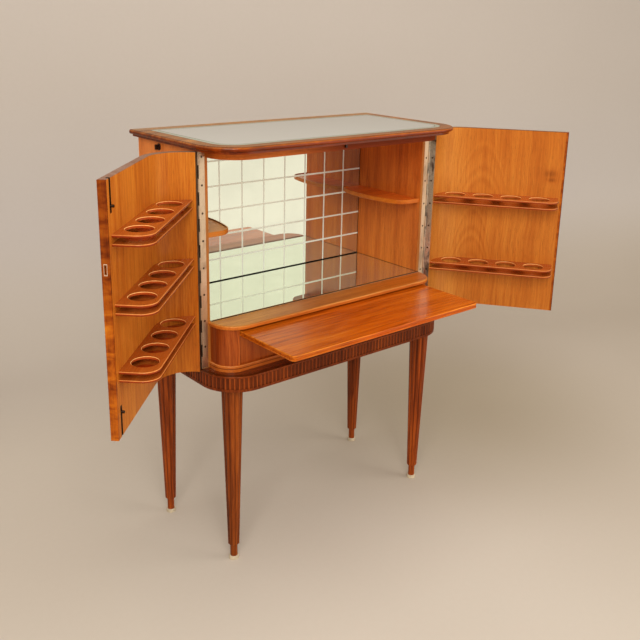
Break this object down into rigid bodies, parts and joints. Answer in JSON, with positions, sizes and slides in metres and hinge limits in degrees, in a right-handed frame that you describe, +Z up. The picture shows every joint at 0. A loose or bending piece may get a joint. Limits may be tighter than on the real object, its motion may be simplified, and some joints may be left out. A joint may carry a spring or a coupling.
{
  "type": "bar cabinet",
  "caption": "Bar cabinet on reeded legs with wrap-round doors carrying glass racks, mirror-lined bar space, corner shelves and a pull-out serving board",
  "frame": {"origin": "on the floor, under the middle of the box round the open cabinet", "axes": "+X to the cabinet's right seen from the front, +Y towards its back, +Z up"},
  "size_m": [1.6544, 0.6542, 1.25],
  "materials": {
    "frame_mahogany": "polished dark mahogany, moulded",
    "carcass_mahogany": "polished red-brown mahogany veneer",
    "door_mahogany": "polished mahogany veneer, figured",
    "lipping_mahogany": "polished figured edge strip",
    "rack_mahogany": "polished mahogany",
    "board_mahogany": "glossy orange-brown mahogany",
    "base_mahogany": "polished dark red-brown mahogany",
    "leg_mahogany": "polished dark red-brown mahogany",
    "inner_wood": "plain matt softwood",
    "top_glass": "pale grey-green polished plate",
    "mirror": "mirror plate, the back one etched with a grid",
    "hinge_metal": "worn plated metal",
    "screw_metal": "worn plated metal",
    "dark_metal": "dark oxidised metal",
    "bright_metal": "polished plated metal",
    "lock_brass": "worn brass",
    "glide_plastic": "pale cream glide",
    "dark_plastic": "dark matt plastic",
    "pale_metal": "pale matt metal",
    "knob_plastic": "dark glossy plastic"
  },
  "bodies": {
    "carcass": {"back_mirror": "mirror", "back_panel": "inner_wood", "base_moulding": "carcass_mahogany", "base_platform": "base_mahogany", "board_runners": "inner_wood", "door_stop": "dark_plastic", "fluted_apron": "base_mahogany", "frieze_rail": "carcass_mahogany", "hinge_carcass_screws": "screw_metal", "hinge_pins": "hinge_metal", "inner_floor": "inner_wood", "ledge": "carcass_mahogany", "left_corner_post": "carcass_mahogany", "left_hinge_carcass_leaf": "hinge_metal", "left_shelf": "carcass_mahogany", "left_side_panel": "carcass_mahogany", "leg_front_left": "leg_mahogany", "leg_front_right": "leg_mahogany", "leg_glides": "glide_plastic", "leg_rear_left": "leg_mahogany", "leg_rear_right": "leg_mahogany", "lower_front_panel": "carcass_mahogany", "mirror_floor": "mirror", "right_corner_post": "carcass_mahogany", "right_hinge_carcass_leaf": "hinge_metal", "right_shelf": "carcass_mahogany", "right_side_panel": "carcass_mahogany", "switch_rosette": "pale_metal", "top_frame": "frame_mahogany", "top_glass": "top_glass", "top_panel": "inner_wood"},
    "left_door": {"flush_bolt_channels": "dark_metal", "left_door_lipping": "lipping_mahogany", "left_door_panel": "door_mahogany", "left_hinge_door_leaf": "hinge_metal", "left_hinge_door_screws": "screw_metal", "left_rack_high_lower": "rack_mahogany", "left_rack_high_upper": "rack_mahogany", "left_rack_low_lower": "rack_mahogany", "left_rack_low_upper": "rack_mahogany", "left_rack_middle_lower": "rack_mahogany", "left_rack_middle_upper": "rack_mahogany", "strike_plate": "bright_metal"},
    "right_door": {"key_escutcheon": "lock_brass", "lock_case": "lock_brass", "right_door_lipping": "lipping_mahogany", "right_door_panel": "door_mahogany", "right_hinge_door_leaf": "hinge_metal", "right_hinge_door_screws": "screw_metal", "right_rack_high_lower": "rack_mahogany", "right_rack_high_upper": "rack_mahogany", "right_rack_low_lower": "rack_mahogany", "right_rack_low_upper": "rack_mahogany"},
    "board": {"serving_board": "board_mahogany", "board_stops": "inner_wood"},
    "upper_bolt": {"upper_flush_bolt": "dark_metal"},
    "lower_bolt": {"lower_flush_bolt": "dark_metal"},
    "key": {"lock_key": "lock_brass"},
    "bolt": {"lock_bolt": "lock_brass"},
    "switch": {"switch_knob": "knob_plastic"}
  },
  "joints": [
    {"name": "left_door_hinge", "type": "hinge", "parent": "carcass", "child": "left_door", "pos_m": [-0.4321, -0.00286, 0.92], "axis": [0, 0, 1], "range_deg": [0, 134.4]},
    {"name": "right_door_hinge", "type": "hinge", "parent": "carcass", "child": "right_door", "pos_m": [0.4551, -0.00286, 0.92], "axis": [0, 0, 1], "range_deg": [-126.2, 0]},
    {"name": "board_slide", "type": "slide", "parent": "carcass", "child": "board", "axis": [0, 1, 0], "range_m": [0, 0.224]},
    {"name": "upper_flush_bolt_slide", "type": "slide", "parent": "left_door", "child": "upper_bolt", "axis": [0, 0, 1], "range_m": [0, 0.012]},
    {"name": "lower_flush_bolt_slide", "type": "slide", "parent": "left_door", "child": "lower_bolt", "axis": [0, 0, -1], "range_m": [0, 0.012]},
    {"name": "key_turn", "type": "hinge", "parent": "right_door", "child": "key", "pos_m": [0.7881, -0.27076, 1.00996], "axis": [0.807, 0.5906, 0], "range_deg": [0, 90]},
    {"name": "lock_bolt_slide", "type": "slide", "parent": "right_door", "child": "bolt", "axis": [0.5906, -0.807, 0], "range_m": [0, 0.008]},
    {"name": "switch_turn", "type": "hinge", "parent": "carcass", "child": "switch", "pos_m": [-0.4293, 0.20214, 1.213], "axis": [-1, 0, 0], "range_deg": [0, 90]}
  ],
  "couplings": [
    {"joint": "right_door_hinge", "follows": "left_door_hinge", "ratio": -0.93899},
    {"joint": "board_slide", "follows": "left_door_hinge", "m_per_rad": 0.095493},
    {"joint": "lock_bolt_slide", "follows": "key_turn", "m_per_rad": 0.0050929}
  ]
}
